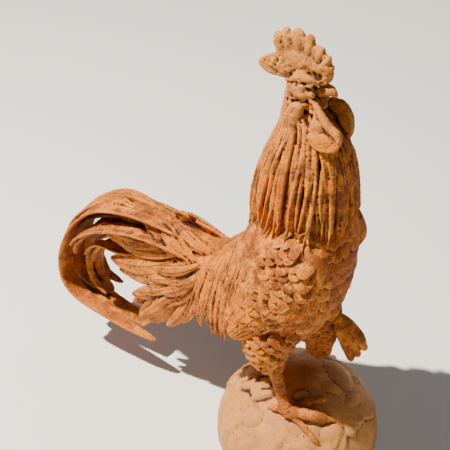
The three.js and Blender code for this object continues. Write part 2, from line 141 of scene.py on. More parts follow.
# Sections of the torso from tail root to shoulders: back x, back z, belly x, belly z, half width.
TORSO = [
    (-124, 138, -120, 122, 12), (-110, 144, -106, 98, 25), (-94, 151, -84, 74, 40),
    (-80, 164, -50, 64, 51), (-69, 180, -14, 68, 56), (-60, 198, 17, 94, 57), (-52, 217, 37, 131, 55),
    (-43, 235, 44, 172, 48), (-34, 248, 47, 212, 41), (-16, 258, 40, 244, 27)]

# Sections of the neck and head from shoulders to crown: back x, back z, front x, front z, half width.
NECK = [
    (-42, 198, 40, 205, 36), (-50, 220, 45, 226, 42), (-51, 240, 46, 246, 42), (-48, 265, 43, 272, 39),
    (-43, 288, 39, 296, 35), (-35, 310, 32, 316, 28), (-27, 330, 21, 334, 22), (-26, 350, 10, 346, 17.5),
    (-26, 362, 5, 352, 15), (-24, 374, 7, 366, 15.5), (-20, 385, 6, 378, 12), (-12, 391, 2, 387, 6)]

# The neck's core under its feathers, narrower than its skin.
CORE_NECK = [
    (bx + 2.5, bz, fx - 2, fz, half - (1.8 if n < 10 else 0.5))
    for n, (bx, bz, fx, fz, half) in enumerate(NECK)]

# Sections of a wing from shoulder to tip: middle x, middle z, half chord, distance from the mid-plane.
WING = [
    (33, 222, 12, 35), (27, 212, 23, 43), (15, 199, 33, 50), (3, 174, 31, 53), (-10, 151, 27, 54),
    (-22, 130, 22, 54), (-35, 110, 15, 54), (-47, 95, 7, 54)]
WING_THICKNESS = 9
WING_CHORD = Vector((0.8, 0, -0.6))

# The tail's core: back x, back z, lower x, lower z, half width.
TAIL = [
    (-92, 150, -88, 84, 36), (-116, 146, -110, 86, 30), (-142, 148, -136, 92, 22),
    (-168, 150, -162, 104, 15), (-190, 150, -186, 120, 8)]

# Each thigh and shank: x, y, z and radius from the body down.
STANDING_THIGH = [(-8, -28, 118, 29), (-15, -36, 94, 27), (-18, -42, 72, 20), (-12, -43, 50, 10)]
RAISED_THIGH = [(-8, 28, 108, 30), (-4, 33, 78, 26), (2, 34, 50, 18), (7, 33, 24, 9)]


def section(table, share):
    """One row of a table between its rows, eased through the rows beside it."""
    place = min(max(share, 0), 1) * (len(table) - 1)
    i = min(int(place), len(table) - 2)
    t = place - i
    row = lambda k: table[min(max(k, 0), len(table) - 1)]
    values = []
    for n in range(len(table[0])):
        a, b, c, d = row(i - 1)[n], row(i)[n], row(i + 1)[n], row(i + 2)[n]
        values.append((2 * t ** 3 - 3 * t * t + 1) * b + (t ** 3 - 2 * t * t + t) * (c - a) / 2
                      + (3 * t * t - 2 * t ** 3) * c + (t ** 3 - t * t) * (d - b) / 2)
    return values


def skin(table, share, angle, lift=0.0):
    """A place on the skin of a table of sections: angle 0 is the back, a quarter turn is the left side."""
    back_x, back_z, front_x, front_z, half_width = section(table, share)
    back, front = at(back_x, 0, back_z), at(front_x, 0, front_z)
    centre = (back + front) / 2
    c, s = math.cos(angle), math.sin(angle)
    point = centre + (back - centre) * math.copysign(abs(c) ** 0.86, c)
    point += LEFT * math.copysign(abs(s) ** 0.86, s) * half_width * MM
    if lift:
        point += skin_normal(table, share, angle) * lift * MM
    return point


def skin_normal(table, share, angle):
    step = 0.01
    along = skin(table, min(share + step, 1), angle) - skin(table, max(share - step, 0), angle)
    around = skin(table, share, angle + step) - skin(table, share, angle - step)
    normal = along.cross(around).normalized()
    back_x, back_z, front_x, front_z, _ = section(table, share)
    centre = at((back_x + front_x) / 2, 0, (back_z + front_z) / 2)
    return -normal if normal.dot(skin(table, share, angle) - centre) < 0 else normal


def on_side(side, x, z):
    """A place on the bird's plain side over a place of the mid-plane, and the way out of the skin there."""
    out = LEFT * side
    hit = SHOULDERS.ray_cast(at(x, side * 200, z), -out)
    if not hit[0]:
        return at(x, side * 30, z), out
    normal = hit[1] if hit[1].dot(out) > 0 else -hit[1]
    return hit[0], (normal + out * 0.7).normalized()


def wing_face(side, share, across, lift=0.0):
    x, z, half_chord, distance = section(WING, share)
    bulge = math.sqrt(max(0, 1 - across * across))
    point = at(x, side * (distance + WING_THICKNESS * bulge + lift), z)
    return point + WING_CHORD * across * half_chord * MM


# Carving.

class Carving:
    """Skins gathered to be fused into one piece of the casting."""

    def __init__(self):
        self.points = []
        self.faces = []

    def loft(self, rings, start=None, end=None):
        count, first = len(rings[0]), len(self.points)
        for ring in rings:
            self.points += ring
        for i in range(len(rings) - 1):
            for j in range(count):
                a, b = first + i * count + j, first + i * count + (j + 1) % count
                self.faces.append((a, b, b + count, a + count))
        middle = lambda ring: sum(ring, Vector()) / len(ring)
        self.points += [start or middle(rings[0]), end or middle(rings[-1])]
        low, high = len(self.points) - 2, len(self.points) - 1
        last = first + (len(rings) - 1) * count
        for j in range(count):
            k = (j + 1) % count
            self.faces.append((low, first + k, first + j))
            self.faces.append((high, last + j, last + k))

    def trunk(self, table, rows, sides):
        turns = [j / sides * math.tau for j in range(sides)]
        self.loft([[skin(table, i / rows, turn) for turn in turns] for i in range(rows + 1)])

    def ball(self, centre, sizes, turn=(0, 0, 0), rows=14, sides=20):
        """An egg of three half sizes in millimetres, turned about X, Y and Z."""
        matrix = turn if isinstance(turn, Matrix) else (
            Matrix.Rotation(turn[2], 3, "Z") @ Matrix.Rotation(turn[1], 3, "Y")
            @ Matrix.Rotation(turn[0], 3, "X"))
        place = lambda a, b: centre + matrix @ Vector((
            sizes[0] * math.sin(a) * math.cos(b), sizes[1] * math.sin(a) * math.sin(b),
            sizes[2] * math.cos(a))) * MM
        rings = [[place(math.pi * i / rows, math.tau * j / sides) for j in range(sides)]
                 for i in range(1, rows)]
        self.loft(rings, place(0, 0), place(math.pi, 0))

    def limb(self, places, sides=16, steps=6, swell=None):
        """A round limb through places (x, y, z, radius) in millimetres."""
        points = [at(*place[:3]) for place in places]
        count = (len(places) - 1) * steps
        rings = []
        for i in range(count + 1):
            t = i / count
            point, along = on_curve(points, t)
            k = min(int(t * (len(places) - 1)), len(places) - 2)
            share = t * (len(places) - 1) - k
            radius = places[k][3] * (1 - share) + places[k + 1][3] * share
            radius += swell(t) if swell else 0
            rings.append(ring_around(point, along, radius, radius, LEFT, sides))
        self.loft(rings)

    def plume(self, path, facing, width, thick, outline, rows=9, profile=None):
        """A feather along a path, of a profile across it; sizes in millimetres."""
        rings = []
        for i in range(rows):
            t = 0.985 * i / (rows - 1)
            point, along = on_curve(path, t)
            face = facing(t, along) if callable(facing) else facing
            across = along.cross(face).normalized()
            face = across.cross(along)
            half = max(outline(t), 0.05) * width / 2 * MM
            high = thick / 2 * MM * (0.55 + 0.45 * min(1, (1 - t) * 4))
            rings.append([point + across * half * a + face * high * b for a, b in profile or SCALE])
        self.loft(rings, None, on_curve(path, 1.0)[0])

    def slab(self, outline, place, half, steps=3):
        """A flat form with round edges from its outline; place(across, out, up) sets it in the bird."""
        points = closed_curve(outline, steps)
        count, first = len(points), len(self.points)
        area = sum(points[i - 1][0] * points[i][1] - points[i][0] * points[i - 1][1] for i in range(count))
        inward = -1 if area < 0 else 1
        rings = ((-1, 0.8), (-0.8, 0.35), (-0.35, 0.05), (0.35, 0.05), (0.8, 0.35), (1, 0.8))
        for out, inset in rings:
            for i, (a, b) in enumerate(points):
                before, after = points[i - 1], points[(i + 1) % count]
                da, db = after[0] - before[0], after[1] - before[1]
                size = math.hypot(da, db) or 1
                shift = inset * half * inward / size
                self.points.append(place(a - db * shift, out * half, b + da * shift))
        for i in range(len(rings) - 1):
            for j in range(count):
                a, b = first + i * count + j, first + i * count + (j + 1) % count
                self.faces.append((a, b, b + count, a + count))
        self.faces.append(tuple(range(first + count - 1, first - 1, -1)))
        self.faces.append(tuple(range(first + (len(rings) - 1) * count, first + len(rings) * count)))

    def tube(self, places, radii, sides=10):
        """A round cord through places, of a radius at each in millimetres."""
        rings = []
        for i in range((len(places) - 1) * 4 + 1):
            t = i / ((len(places) - 1) * 4)
            point, along = on_curve(places, t)
            k = min(int(t * (len(places) - 1)), len(places) - 2)
            share = t * (len(places) - 1) - k
            radius = radii[k] * (1 - share) + radii[k + 1] * share
            rings.append(ring_around(point, along, radius, radius, LEFT if abs(along.y) < 0.8 else UP, sides))
        self.loft(rings)


def on_curve(points, t):
    """The place and direction at a share of the way along a smooth curve through points."""
    place = min(max(t, 0), 1) * (len(points) - 1)
    i = min(int(place), len(points) - 2)
    u = place - i
    b, c = points[i], points[i + 1]
    a = points[i - 1] if i > 0 else b * 2 - c
    d = points[i + 2] if i + 2 < len(points) else c * 2 - b
    m, n = (c - a) / 2, (d - b) / 2
    point = b * (2 * u ** 3 - 3 * u * u + 1) + m * (u ** 3 - 2 * u * u + u) + c * (3 * u * u - 2 * u ** 3) \
        + n * (u ** 3 - u * u)
    along = b * (6 * u * u - 6 * u) + m * (3 * u * u - 4 * u + 1) + c * (6 * u - 6 * u * u) \
        + n * (3 * u * u - 2 * u)
    return point, along.normalized()


def ring_around(point, along, wide, high, side, sides):
    across = (side - along * side.dot(along)).normalized()
    face = across.cross(along)
    turns = [j / sides * math.tau for j in range(sides)]
    return [point + (across * math.cos(a) * wide + face * math.sin(a) * high) * MM for a in turns]


# Profiles across a feather: share of its half width, share of its half thickness.
SCALE = (
    (1, -0.2), (0.95, 0.6), (0.65, 0.9), (0, 1), (-0.65, 0.9), (-0.95, 0.6), (-1, -0.2), (-0.7, -1),
    (0.7, -1))
LANCE = (
    (1, -0.2), (0.94, 0.5), (0.5, 0.55), (0.14, 0.7), (0, 1.25), (-0.14, 0.7), (-0.5, 0.55), (-0.94, 0.5),
    (-1, -0.2), (-0.7, -0.9), (0.7, -0.9))
STRAND = (
    (1, -0.3), (0.78, 0.55), (0.25, 1), (-0.25, 1), (-0.78, 0.55), (-1, -0.3), (-0.5, -0.8), (0.5, -0.8))
RIBBON = (
    (1, 0.1), (0.92, 0.85), (0.62, 0.42), (0.2, 0.4), (0, 0.85), (-0.2, 0.4), (-0.62, 0.42), (-0.92, 0.85),
    (-1, 0.1), (-0.9, -0.6), (-0.3, -0.8), (0.3, -0.8), (0.9, -0.6))


def closed_curve(outline, steps):
    """A smooth closed outline through points."""
    points = []
    count = len(outline)
    for i in range(count):
        a, b, c, d = (outline[(i + k) % count] for k in (-1, 0, 1, 2))
        for j in range(steps):
            t = j / steps
            points.append(tuple(
                (2 * t ** 3 - 3 * t * t + 1) * b[n] + (t ** 3 - 2 * t * t + t) * (c[n] - a[n]) / 2
                + (3 * t * t - 2 * t ** 3) * c[n] + (t ** 3 - t * t) * (d[n] - b[n]) / 2 for n in (0, 1)))
    return points


def leaf(t):
    swell = 0.45 + 0.55 * math.sin(min(1, t * 1.6) * math.pi / 2)
    return swell * math.sqrt(max(0, 1 - max(0, (t - 0.45) / 0.55) ** 2))


def lancet(t):
    return (1 - 0.25 * t) * min(1, (1 - t) / 0.45) ** 0.75


def scale(t):
    return math.sqrt(max(0, 1 - max(0, (t - 0.35) / 0.65) ** 3)) * (0.75 + 0.25 * min(1, t * 3))


def ribbon(t):
    return min(1, 0.7 + t) * math.sqrt(max(0, 1 - max(0, (t - 0.86) / 0.14) ** 2))


def blunt(t):
    return min(1, 0.7 + t) * (1 - 0.3 * min(1, max(0, (t - 0.6) / 0.3)))


def tapered(t):
    return ribbon(t) * (1 - 0.45 * min(1, max(0, (t - 0.62) / 0.32)))


# Head and hackle.

COMB = [
    (-58, 382.5), (-53, 387.5), (-44, 393), (-37, 397), (-40, 403), (-42, 409), (-42, 414), (-39, 417),
    (-36, 416), (-34, 419), (-32, 423), (-27, 423), (-25, 419), (-24, 421), (-20, 425), (-16, 425),
    (-12, 423), (-10, 419), (-7, 423), (-4, 422), (-1, 419), (-1, 414), (3, 414), (6, 413), (8, 408),
    (12, 408), (15, 404), (17, 400), (19, 394), (20, 387), (17, 380), (5, 376), (-9, 374), (-24, 372),
    (-34, 371), (-45, 371), (-53, 374.5), (-58, 379.5)]
NEAR_WATTLE = [
    (13, 371), (18, 363), (22, 356), (29, 347), (37, 342), (40, 334), (37, 324), (30, 318), (21, 316),
    (13, 317), (7, 322), (6, 332), (7, 342), (10, 350), (11, 360)]
FAR_WATTLE = [
    (8, 354), (13, 357), (19, 358), (26, 357), (32, 351), (36, 343), (37, 332), (36, 323), (31, 314),
    (23, 310), (16, 317), (12, 329), (9, 344)]
EARLOBE = [
    (-14, 357), (-18, 348), (-17, 339), (-13, 332), (-7, 330), (-2, 337), (-1, 348), (0, 358), (-6, 361)]


def comb(carving):
    half = 3.7
    carving.slab(COMB, lambda a, out, b: at(a, out, b), half)
    lobes = [(-33, 398, -39.5, 413.5, 4.8), (-25, 402, -30, 420, 5.2), (-15, 403, -17.5, 421.5, 5.6),
             (-6, 402, -4.5, 418.5, 5.2), (4, 399, 7, 410.5, 4.5), (10, 395, 14, 404, 4.2),
             (13, 389, 17, 395, 3.8)]
    for root_x, root_z, tip_x, tip_z, radius in lobes:
        root, tip = Vector((root_x, 0, root_z)), Vector((tip_x, 0, tip_z))
        lean = math.atan2(tip.x - root.x, tip.z - root.z)
        carving.ball(at(*root.lerp(tip, 0.5)), (radius, 5.6, (tip - root).length / 2 + 3), (0, lean, 0))
    carving.ball(at(-37, 0, 384), (12, 5, 7.5), (0, -0.15, 0))
    carving.ball(at(-13, 0, 393), (27, 6, 16.5), (0, 0.12, 0))
    carving.ball(at(5, 0, 389), (14, 6.6, 11), (0, 0.5, 0))
    # Low lumps of the rough plate between head and lobes.
    rng = random.Random(4)
    for _ in range(60):
        x, z = rng.uniform(-42, 14), rng.uniform(379, 397)
        if z > 390 and x < -32:
            continue
        for side in (1, -1):
            carving.ball(at(x, side * rng.uniform(4, 5.2), z),
                         (rng.uniform(2, 4.5), 1.8, rng.uniform(1.8, 3.4)),
                         (0, rng.uniform(-0.8, 0.8), 0), 6, 8)


def wattle(carving, side):
    """A thick hanging paddle, hollow in its face, with a rolled rim at its front."""
    outline = NEAR_WATTLE if side < 0 else FAR_WATTLE

    def place(a, out, b):
        if side > 0:
            return at(a, 13.5 + 0.06 * (350 - b) + out, b)
        if b > 350:
            lean = (b - 350) / 21
            return at(a - 4.5 * lean, -17 + 7 * lean + out, b - 6 * lean)
        away = (350 - b) * 0.22
        return at(a + 0.6 * away, -17 - away + out, b + 0.85 * away)

    carving.slab(outline, place, 3.4)
    if side < 0:
        carving.ball(place(19, -0.5, 327), (14.5, 5, 9.5), (0, 0.15, 0))
        carving.ball(place(15, 0, 337), (8.5, 4.6, 12), (0, 0.3, 0))
        rim = [place(a - 1.2, -3, b) for a, b in outline[:6]]
        carving.tube(rim, [2.4, 3.2, 3.8, 4.2, 4.2, 2.4], 14)
    else:
        carving.ball(place(24, 0, 332), (12, 4.8, 20), (0, 0.1, 0))


def face(carving):
    beak = [(1, 367, 8.6, 7.5, 0.35), (8, 369.8, 8, 6.6, 0.3), (14, 371.6, 7, 5.6, 0.12),
            (18.6, 371.6, 5.6, 4.8, -0.25), (21.8, 370, 4, 3.6, -0.8), (23.4, 367.6, 2.2, 2.2, -1.25)]
    rings = [ring_around(at(x, 0, z), Vector((math.cos(tilt), 0, math.sin(tilt))), wide, high, LEFT, 20)
             for x, z, wide, high, tilt in beak]
    carving.loft(rings, None, at(24, 0, 365.6))
    jaw = [(-4, 359, 8, 5), (4, 358, 6.6, 4.6), (9, 356.5, 5.4, 4.4), (13.5, 355, 4, 3.8)]
    carving.loft([ring_around(at(x, 0, z), Vector((1, 0, -0.2)).normalized(), wide, high, LEFT, 16)
                  for x, z, wide, high in jaw], None, at(16, 0, 354.5))
    rng = random.Random(8)
    for side in (1, -1):
        carving.slab(EARLOBE, lambda a, out, b: at(a, side * 17.5 + out, b), 4.6)
        carving.ball(at(-8.5, side * 19, 342), (6.5, 5, 11), (side * -0.1, 0.15, 0))
        carving.ball(at(-6, side * 11, 371), (13, 6.4, 10))
        # Brow over the eye, cheek under it, and the ear's lump behind.
        brow = [at(-16, side * 11.6, 380), at(-8, side * 13.4, 385), at(2, side * 12.4, 385),
                at(10, side * 8, 381)]
        carving.tube(brow, [2.6, 3.8, 4, 2.8])
        cheek = [at(-14, side * 13.2, 370), at(-7, side * 15.2, 368.5), at(1, side * 14, 369.5),
                 at(7, side * 9.6, 372)]
        carving.tube(cheek, [2, 3.2, 3, 2])
        carving.ball(at(-17, side * 12.5, 373), (4.5, 4, 5))
        carving.ball(at(5, side * 9, 358), (7, 5, 9), (0, 0.4, 0))
        carving.ball(at(-3.5, side * 15.6, 377), (3, 2.4, 2.9), (0, 0, 0), 10, 14)
        for _ in range(60):
            x, z = rng.uniform(-20, 7), rng.uniform(352, 386)
            if math.hypot(x + 3.5, z - 377) > 5:
                size = rng.uniform(1.2, 2.6)
                place = at(x, side * rng.uniform(12.4, 15.2), z)
                carving.ball(place, (size * 1.3, size, size), (0, 0, 0), 6, 8)


def shoulders():
    """The plain torso and wings, that the neck's feathers lie on."""
    plain = Carving()
    plain.trunk(TORSO, 20, 32)
    wing_lens(plain, 1)
    wing_lens(plain, -1)
    return BVHTree.FromPolygons(plain.points, plain.faces)


def over_body(place, lift):
    """A place of the neck's skin, moved out where the shoulders stand over it."""
    middle = Vector((0, 0, place.z))
    away = (place - middle)
    way = away.normalized()
    hit = SHOULDERS.ray_cast(middle + way * 0.3, -way)
    rise = (hit[0] - place).dot(way) if hit[0] else 0
    share = min(1, max(0, (at(0, 0, 246).z - place.z) / MM / 16))
    if -lift * MM < rise < 13 * MM:
        return place + way * (rise + lift * MM) * share
    return place


def hackle(carving):
    """Long narrow feathers around the neck, from behind the face down to the shoulders."""
    rng = random.Random(11)

    def lay(angle, begin, finish, wave, phase, wide, low, high, thick):
        path = []
        for i in range(7):
            t = i / 6
            drift = wave * math.sin(t * 3.2 + phase) * min(1, t * 2)
            lift = low + (high - low) * t + 0.5 * math.sin(t * 5 + phase)
            rooted = -1.5 + (lift + 1.5) * min(1, t * 4)
            place = skin(NECK, begin + (finish - begin) * t, angle + drift, rooted)
            path.append(over_body(place, max(0.6, lift)))
        half_way = section(NECK, (begin + finish) / 2)

        def across(t):
            row = section(NECK, begin + (finish - begin) * t)
            return (row[4] + 6) / (half_way[4] + 6) * lancet(t)
        carving.plume(path, skin_normal(NECK, (begin + finish) / 2, angle), wide, thick, across, 12, STRAND)

    def hem(angle, j):
        """How low the feathers reach: lowest at the back, ragged all around."""
        return (0.12 - 0.05 * math.cos(angle) - 0.07 * max(0, math.cos(angle - 1.22 * math.pi))
                + 0.02 * math.sin(2.4 * j) + rng.uniform(-0.03, 0.03))

    count = 54
    for j in range(count):
        angle = (j + rng.uniform(-0.2, 0.2)) / count * math.tau
        begin = 0.64 + 0.09 * max(0, math.cos(angle)) + rng.uniform(-0.02, 0.02)
        lay(angle, begin, hem(angle, j), rng.uniform(0.02, 0.08), rng.uniform(0, 6), rng.uniform(5.0, 6.4),
            rng.uniform(-0.6, 0.6), rng.uniform(0.2, 2.4), 5.4)
    count = 46
    for j in range(count):
        angle = (j + rng.uniform(-0.4, 0.4)) / count * math.tau
        begin = rng.uniform(0.36, 0.56)
        lay(angle, begin, hem(angle, j) + rng.uniform(-0.02, 0.08), rng.uniform(0.03, 0.12),
            rng.uniform(0, 6), rng.uniform(4.6, 6.6), rng.uniform(0.8, 1.8), rng.uniform(2.0, 4.8), 5.0)
    count = 38
    for j in range(count):
        angle = (j + rng.uniform(-0.4, 0.4)) / count * math.tau
        begin = rng.uniform(0.6, 0.68) + 0.05 * max(0, math.cos(angle))
        lay(angle, begin, rng.uniform(0.3, 0.42), rng.uniform(0.02, 0.1), rng.uniform(0, 6),
            rng.uniform(3.8, 5.4), rng.uniform(0.6, 1.4), rng.uniform(1.6, 3.4), 4.6)


# Body, wings and saddle.

def wing_lens(carving, side):
    rings = []
    rows = 20
    for i in range(rows + 1):
        x, z, half_chord, distance = section(WING, i / rows)
        rings.append([
            at(x, side * distance, z)
            + (WING_CHORD * math.cos(a) * half_chord + LEFT * math.sin(a) * WING_THICKNESS) * MM
            for a in [j / 24 * math.tau for j in range(24)]])
    carving.loft(rings, None, at(-53, side * 54, 87))


def wing_feathers(carving, side):
    rng = random.Random(21)
    outward = LEFT * side

    def lay(x, z, way, reach, width, thick, outline, lift, profile=None, rows=10):
        places = [on_side(side, x + way[0] * reach * t, z + way[1] * reach * t) for t in (0, 0.33, 0.7, 1)]
        out = sum((place[1] for place in places), Vector()).normalized()
        path = [place[0] + out * lift * (-0.7, 0, 0.8, 1.4)[k] * MM for k, place in enumerate(places)]
        carving.plume(path, out, width, thick, outline, rows, profile)

    # Rows of round feathers like shingles, larger from row to row; a row rises a little towards the breast.
    rears = (-10, -20, -27, -31, -34, -36, -37, -38, -39, -40)
    fronts = (12, 18, 24, 30, 35, 38, 38, 37, 34, 29)
    rows = [(231 - 7.6 * i, 10.5 + 0.6 * i, 13 + 0.7 * i, rears[i], fronts[i]) for i in range(10)]
    for i, (base, width, reach, rear, front) in enumerate(rows):
        x = rear + rng.uniform(0, width * 0.5)
        if side > 0:
            front -= max(0, 20 - 5 * i)
        while x < front:
            z = base + 0.36 * x + rng.uniform(-1.3, 1.3)
            lean = -0.22 - 0.05 * i + rng.uniform(-0.12, 0.12)
            size = width * rng.uniform(0.95, 1.2)
            fade = min(1, 0.55 + (x - rear) / 16)
            lay(x, z, (math.sin(lean), -math.cos(lean)), reach * rng.uniform(0.94, 1.12), size, 2.9, scale,
                (4.0 + 0.15 * i + rng.uniform(-0.7, 1.0)) * fade)
            x += size * 0.74
    # Broad leaves that sweep down and back, then the long feathers that end the wing.
    for first, last, count, reach, width, lift in (
            ((-32, 153), (30, 170), 4, 24, 25, 6.2), ((-38, 140), (26, 158), 5, 27, 20, 5.8),
            ((-42, 128), (16, 146), 5, 30, 15, 5.2)):
        for j in range(count):
            share = j / (count - 1)
            x, z = first[0] + (last[0] - first[0]) * share, first[1] + (last[1] - first[1]) * share
            lean = -0.45 - 0.4 * share + rng.uniform(-0.1, 0.1)
            lay(x, z, (math.sin(lean), -math.cos(lean)), reach * rng.uniform(0.9, 1.08), width, 4.8,
                scale if width > 18 else leaf, lift + rng.uniform(-0.8, 0.8), LANCE)
    for layer, count in enumerate((9, 8, 7)):
        for j in range(count):
            across = -0.97 + (j + 0.4 * layer) * 1.94 / (count - 0.4)
            begin = 0.4 + 0.12 * layer + rng.uniform(-0.03, 0.03)
            end = min(1.0, 0.86 + 0.07 * layer + rng.uniform(-0.04, 0.03))
            high = 1.6 + 1.5 * layer + rng.uniform(-0.9, 1.1)
            path = [wing_face(side, begin + (end - begin) * t,
                              across * (1 - 0.12 * t) + rng.uniform(-0.03, 0.03),
                              (-0.6, 0.3, 0.8, 1)[k] * high) for k, t in enumerate((0, 0.35, 0.7, 1))]
            carving.plume(path, outward, rng.uniform(6.4, 8.6), 5.4, leaf, 12, LANCE)


def breast(carving):
    """Rows of rounded feathers from under the hackle to the belly."""
    rng = random.Random(31)
    for i in range(15):
        share = 1.0 - i * 0.044
        count = 11
        for j in range(count):
            angle = math.pi + ((j + 0.5 * (i % 2)) / (count - 0.5) - 0.5) * 2.8 + rng.uniform(-0.04, 0.04)
            reach = 0.056 * rng.uniform(0.9, 1.2)
            high = rng.uniform(4.2, 6.6) * min(1, 0.2 + 0.3 * i)
            path = [skin(TORSO, share - reach * t, angle, high * (-0.5, 0.2, 0.7, 1)[k])
                    for k, t in enumerate((0, 0.35, 0.7, 1))]
            out = skin_normal(TORSO, share - reach / 2, angle)
            carving.plume(path, out, rng.uniform(15, 20), 4.4, scale, 10)


def saddle(carving, side):
    """Long thin feathers that hang from the saddle over the flank."""
    rng = random.Random(41)
    outward = Vector((-0.3, side, 0.2)).normalized()

    def hang(along, across, lift):
        root = at(-42 - 58 * across, side * (30 - 12 * across), 194 - 46 * across)
        half_way = at(-58 - 42 * across, side * (64 - 16 * across), 140 - 20 * across)
        end = at(-58 - 56 * across, side * (48 - 10 * across), 58 + 14 * across * across)
        place = root * (1 - along) ** 2 + half_way * 2 * along * (1 - along) + end * along ** 2
        if along < 0.25:
            place = place.lerp(SHOULDERS.find_nearest(place)[0], 1 - along / 0.25)
        return place + outward * lift * MM

    # A thick root under the feathers.
    rings = []
    for i in range(9):
        t = 0.05 + 0.81 * i / 8
        rings.append([hang(t, v / 10, -2.2) for v in range(11)]
                     + [hang(t, v / 10, -9) for v in range(10, -1, -1)])
    carving.loft(rings)
    for layer, (begin, finish) in enumerate(((0.3, 1.0), (0.14, 0.9), (0.02, 0.7))):
        count = (28, 26, 22)[layer]
        for j in range(count):
            across = -0.07 * layer + (j + rng.uniform(-0.35, 0.35)) / count * (1.0 + 0.07 * layer)
            start = begin + rng.uniform(-0.05, 0.08)
            stop = finish + rng.uniform(-0.12, 0.01)
            sway = rng.uniform(-0.05, 0.05)
            high = rng.uniform(0, 3.4) + 1.1 * layer
            path = [hang(start + (stop - start) * t, across + sway * t,
                         (high + 1.5) * min(1, t * 3) - 1.5 + 0.8 * t) for t in (0, 0.2, 0.4, 0.6, 0.8, 1)]
            carving.plume(path, outward, rng.uniform(4.2, 5.8), 5.2, lancet, 12, STRAND)


# Tail.

# Each sickle: distance to the left, width, outline, and its way (x, z) from the tail's root.
SICKLES = [
    (-12, 26, "tapered", [
        (-96, 138), (-130, 150), (-165, 158), (-206, 159), (-250, 145), (-284, 111), (-303, 66),
        (-303, 28), (-286, 5), (-250, -6), (-212, -13), (-178, -18)]),
    (12, 32, "blunt", [
        (-96, 132), (-130, 140), (-170, 145), (-216, 149), (-262, 137), (-296, 104), (-314, 60),
        (-312, 22), (-290, 1), (-258, -9), (-230, -15), (-204, -20)]),
    (39, 25, "tapered", [
        (-104, 114), (-150, 112), (-205, 124), (-254, 129), (-293, 105), (-312, 66), (-311, 26), (-291, 3),
        (-262, -4)]),
    (-24, 20, "ribbon", [
        (-104, 124), (-150, 138), (-190, 142), (-231, 131), (-252, 121), (-271, 106), (-284, 87)]),
    (-9, 24, "tapered", [
        (-130, 130), (-180, 138), (-226, 129), (-264, 106), (-284, 82), (-292, 62)]),
    (-14, 13, "tapered", [
        (-150, 112), (-190, 104), (-221, 97), (-240, 98), (-254, 95), (-266, 84), (-276, 69)]),
    (6, 11, "tapered", [
        (-150, 118), (-190, 118), (-230, 106), (-260, 90), (-282, 62), (-286, 34), (-278, 14), (-262, 2)]),
    (28, 18, "tapered", [
        (-130, 98), (-190, 96), (-238, 84), (-268, 64), (-288, 36), (-287, 12), (-276, 0)]),
    (20, 50, "tapered", [
        (-120, 130), (-180, 136), (-225, 134), (-262, 121), (-287, 101), (-304, 72), (-309, 46),
        (-304, 22), (-288, 6), (-262, -4)]),
    (36, 38, "tapered", [
        (-120, 128), (-180, 132), (-225, 123), (-262, 106), (-286, 82), (-298, 58), (-301, 36), (-296, 18),
        (-280, 3)]),
    (8, 20, "tapered", [
        (-150, 134), (-200, 138), (-232, 130), (-252, 117), (-270, 104), (-284, 86)]),
    (6, 14, "tapered", [
        (-160, 100), (-205, 96), (-240, 89), (-258, 82), (-274, 62), (-280, 44)])]

# Single leaves over the fan: tip (x, y, z), root (x, y, z) and width, for the right side.
LEAVES = [
    (-150, -10, 163, -104, -16, 144, 13), (-162, -14, 157, -124, -20, 134, 14),
    (-184, -16, 154, -136, -22, 132, 17), (-220, -15, 110, -140, -22, 134, 15),
    (-248, -13, 126, -157, -20, 139, 22), (-219, -16, 75, -130, -24, 120, 25),
    (-168, -25, 106, -110, -28, 134, 12), (-197, -17, 57, -130, -24, 108, 16),
    (-160, -24, 74, -108, -28, 124, 15), (-200, -13, 15, -158, -20, 82, 20),
    (-196, -18, 20, -140, -24, 85, 16), (-155, -24, 61, -110, -28, 112, 14),
    (-187, -13, 12, -140, -20, 74, 16), (-158, -18, 23, -120, -24, 92, 14),
    (-136, -22, 39, -106, -28, 108, 12), (-236, -13, 84, -146, -20, 120, 22),
    (-228, -11, 68, -146, -18, 111, 20), (-212, -8, 26, -150, -16, 94, 20),
    (-138, -8, 157, -100, -14, 145, 12), (-203, -7, 158, -126, -14, 135, 16),
    (-209, -12, 42, -146, -18, 96, 18), (-178, -23, 88, -120, -27, 122, 14),
    (-176, -22, 46, -124, -26, 98, 15), (-150, -26, 92, -104, -29, 124, 12)]


def sickles(carving):
    """Curled ribbons, each with raised edges and a rib."""
    shapes = {"ribbon": ribbon, "blunt": blunt, "tapered": tapered}
    for k, (y, width, outline, way) in enumerate(SICKLES):
        path = [at(x, y * min(1, 0.6 + i * 0.2) + 0.8 * math.sin(i * 1.7 + k), z)
                for i, (x, z) in enumerate(way)]
        carving.plume(path, lambda t, along: LEFT.cross(along), width, 5.2, shapes[outline],
                      len(way) * 5, RIBBON)


